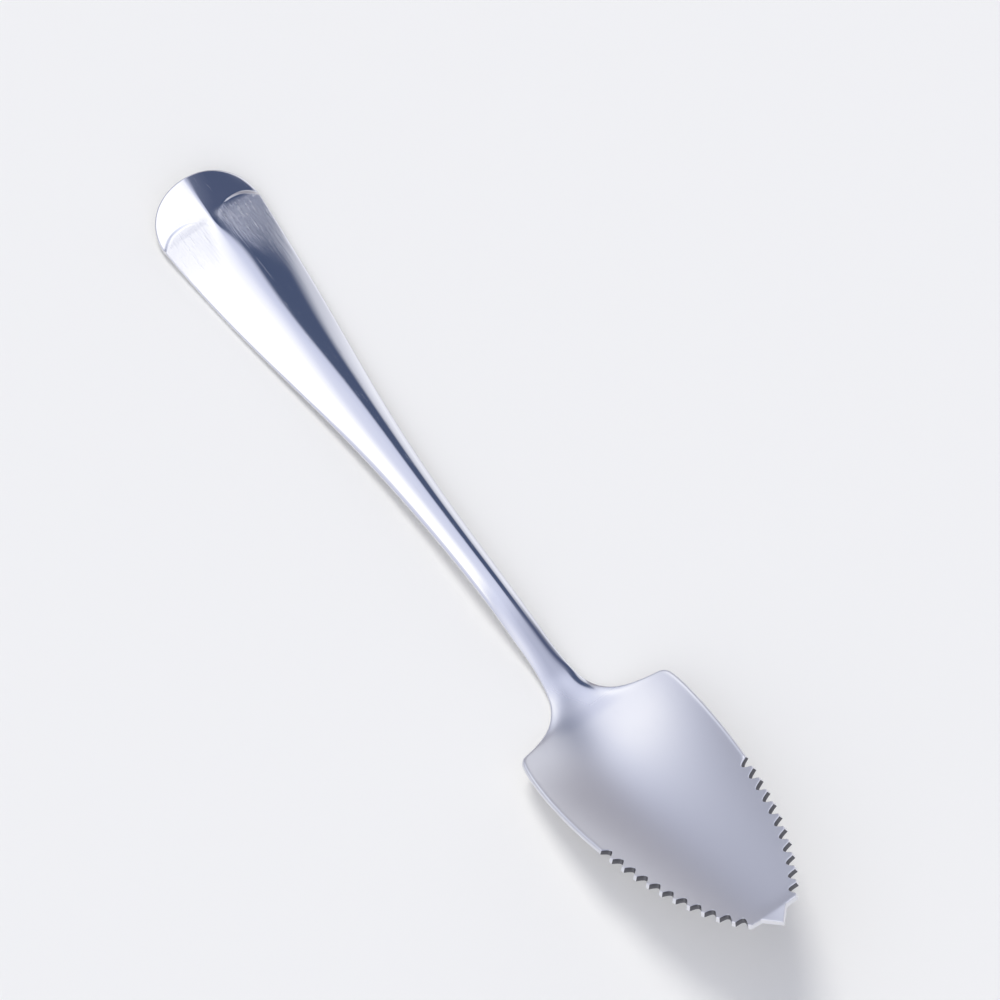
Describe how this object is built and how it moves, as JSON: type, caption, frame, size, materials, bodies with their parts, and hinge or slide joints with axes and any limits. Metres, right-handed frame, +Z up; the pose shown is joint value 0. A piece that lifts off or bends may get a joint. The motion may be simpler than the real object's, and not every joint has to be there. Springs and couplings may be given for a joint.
{
  "type": "grapefruit spoon",
  "caption": "One-piece steel spoon with a ridged handle, a slim neck and a pointed, shallow bowl with a saw-toothed rim.",
  "frame": {"origin": "midway along the spoon, on its middle line, at the level of the table that it rests on", "axes": "+X from the end of the handle to the tip of the bowl, +Y across, +Z up out of the open bowl"},
  "size_m": [0.1692, 0.0304, 0.0217],
  "materials": {
    "stainless_steel": "mirror-polished handle, satin bowl, ground teeth"
  },
  "bodies": {
    "root": {"spoon": "stainless_steel"}
  },
  "joints": []
}
